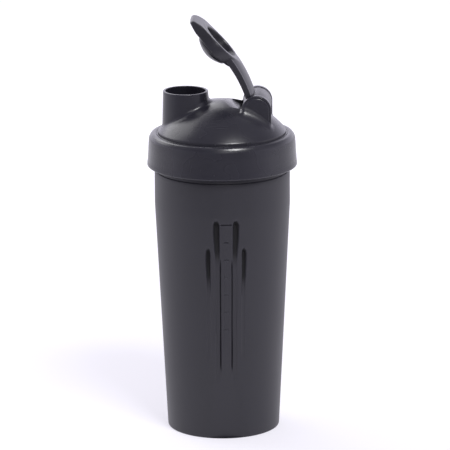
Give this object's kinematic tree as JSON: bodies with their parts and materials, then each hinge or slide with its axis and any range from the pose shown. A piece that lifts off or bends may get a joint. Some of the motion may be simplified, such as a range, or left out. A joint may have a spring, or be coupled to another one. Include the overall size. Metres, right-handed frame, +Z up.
{
  "type": "protein shaker bottle",
  "caption": "Screw-top shaker cup with a spouted lid, hinged flip cap, silicone seal and a loose wire whisk ball.",
  "frame": {"origin": "centre of the base, on the surface that the bottle stands on", "axes": "+Z up along the cup's axis, spout towards -X, hinge towards +X with its line along Y"},
  "size_m": [0.0972, 0.0972, 0.2713],
  "materials": {
    "cup_plastic": "satin moulded polypropylene, charcoal grey",
    "lid_plastic": "satin moulded polypropylene, charcoal grey, a little darker than the cup",
    "cap_plastic": "satin moulded polypropylene, charcoal grey",
    "seal_silicone": "soft matt silicone",
    "wire_steel": "bright drawn stainless wire"
  },
  "bodies": {
    "cup": {"cup": "cup_plastic"},
    "lid_seal": {"lid_seal": "seal_silicone"},
    "lid": {"lid": "lid_plastic"},
    "flip_cap": {"flip_cap": "cap_plastic"},
    "whisk_ball": {"whisk_ball": "wire_steel"}
  },
  "joints": [
    {"name": "lid_lift", "type": "slide", "parent": "cup", "child": "lid_seal", "axis": [0, 0, 1], "range_m": [0, 0.009]},
    {"name": "lid_turn", "type": "hinge", "parent": "lid_seal", "child": "lid", "pos_m": [0, 0, 0], "axis": [0, 0, 1], "range_deg": [0, 540]},
    {"name": "cap_hinge", "type": "hinge", "parent": "lid", "child": "flip_cap", "pos_m": [0.0228, 0, 0.2143], "axis": [0, 1, 0], "range_deg": [-46.5, 125]},
    {"name": "ball_travel", "type": "slide", "parent": "cup", "child": "whisk_ball", "axis": [0, 0, 1], "range_m": [0, 0.138]}
  ],
  "couplings": [
    {"joint": "lid_lift", "follows": "lid_turn", "m_per_rad": 0.00095493}
  ]
}
